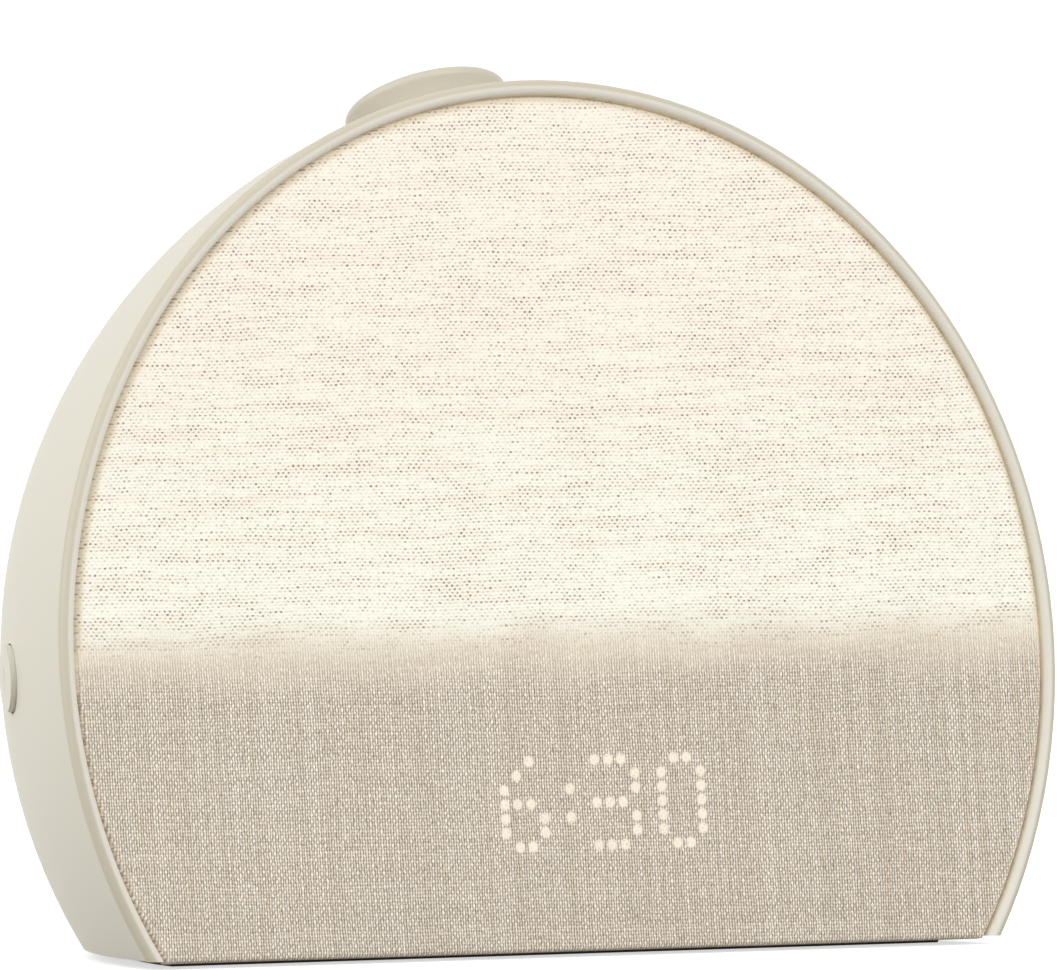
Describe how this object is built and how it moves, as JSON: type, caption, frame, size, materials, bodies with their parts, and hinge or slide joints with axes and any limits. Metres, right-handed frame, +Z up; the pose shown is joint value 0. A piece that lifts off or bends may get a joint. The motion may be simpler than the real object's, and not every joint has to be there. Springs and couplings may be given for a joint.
{
  "type": "sunrise alarm clock",
  "caption": "Sunrise alarm clock with an arched, backlit linen face, a dot display behind the cloth, a round ivory housing, a flared top button and round side buttons.",
  "frame": {"origin": "on the table, at the centre of the overall bounding box seen from above: x = 0 is the clock's plane of symmetry, z = 0 is the underside of the rubber foot", "axes": "+X to the clock's own left-to-right as seen from the front, +Y from the cloth face to the back, +Z up; the face looks towards -Y and leans back"},
  "size_m": [0.21, 0.095, 0.1611],
  "materials": {
    "shell_plastic": "fine-grained ivory plastic",
    "rim_plastic": "smooth ivory plastic",
    "button_plastic": "smooth ivory plastic",
    "linen": "plain-woven natural linen, lit from behind",
    "diffuser": "frosted translucent panel",
    "white_plastic": "moulded white plastic",
    "black_plastic": "moulded black plastic",
    "circuit_board": "green solder mask",
    "lamp": "yellow phosphor in a white case",
    "component": "plated cases",
    "black_cloth": "fine acoustic cloth",
    "foam": "closed-cell foam",
    "plated_steel": "zinc plated",
    "paper": "pressed paper cone",
    "contact_brass": "polished pin",
    "foot_rubber": "matt grey-black rubber",
    "spring_steel": "drawn wire and strip",
    "switch_plastic": "moulded plunger",
    "screw_steel": "zinc-plated screws"
  },
  "bodies": {
    "housing": {"body_shell": "shell_plastic", "front_bezel": "rim_plastic", "fabric_cover": "linen", "front_panel": "diffuser", "light_box": "white_plastic", "sunrise_board": "circuit_board", "sunrise_leds": "lamp", "display_mask": "black_plastic", "display_board": "circuit_board", "display_leds": "lamp", "main_board": "circuit_board", "board_parts": "component", "rear_cover": "shell_plastic", "grille_cloth": "black_cloth", "speaker_gasket": "foam", "speaker_frame": "plated_steel", "speaker_magnet": "plated_steel", "speaker_cone": "paper", "power_jack": "black_plastic", "jack_pin": "contact_brass", "jack_board": "circuit_board", "base_plate": "black_plastic", "foot_pad": "foot_rubber", "top_button_guide": "white_plastic", "top_button_spring": "spring_steel", "top_switch": "black_plastic", "top_switch_board": "circuit_board", "left_switch": "black_plastic", "left_switch_board": "circuit_board", "right_switch": "black_plastic", "right_switch_board": "circuit_board", "rear_screws": "screw_steel", "base_screws": "screw_steel", "light_box_screws": "screw_steel", "sunrise_board_screws": "screw_steel", "display_screws": "screw_steel", "main_board_screws": "screw_steel", "speaker_screws": "screw_steel", "jack_screws": "screw_steel", "top_guide_screws": "screw_steel", "top_board_screws": "screw_steel", "side_board_screws": "screw_steel"},
    "top_button": {"top_button": "button_plastic", "top_button_clip": "spring_steel", "top_switch_plunger": "switch_plastic"},
    "left_button": {"left_button": "button_plastic", "left_switch_plunger": "switch_plastic"},
    "right_button": {"right_button": "button_plastic", "right_switch_plunger": "switch_plastic"}
  },
  "joints": [
    {"name": "top_button_press", "type": "slide", "parent": "housing", "child": "top_button", "axis": [0, -0.4695, -0.8829], "range_m": [0, 0.0012], "stiffness_N_per_m": 1100, "springref_m": -0.001, "deforming": ["top_button_spring"]},
    {"name": "left_button_press", "type": "slide", "parent": "housing", "child": "left_button", "axis": [0.9397, -0.34, 0.0369], "range_m": [0, 0.0008], "stiffness_N_per_m": 700, "springref_m": -0.001},
    {"name": "right_button_press", "type": "slide", "parent": "housing", "child": "right_button", "axis": [-0.9397, -0.34, 0.0369], "range_m": [0, 0.0008], "stiffness_N_per_m": 700, "springref_m": -0.001}
  ]
}
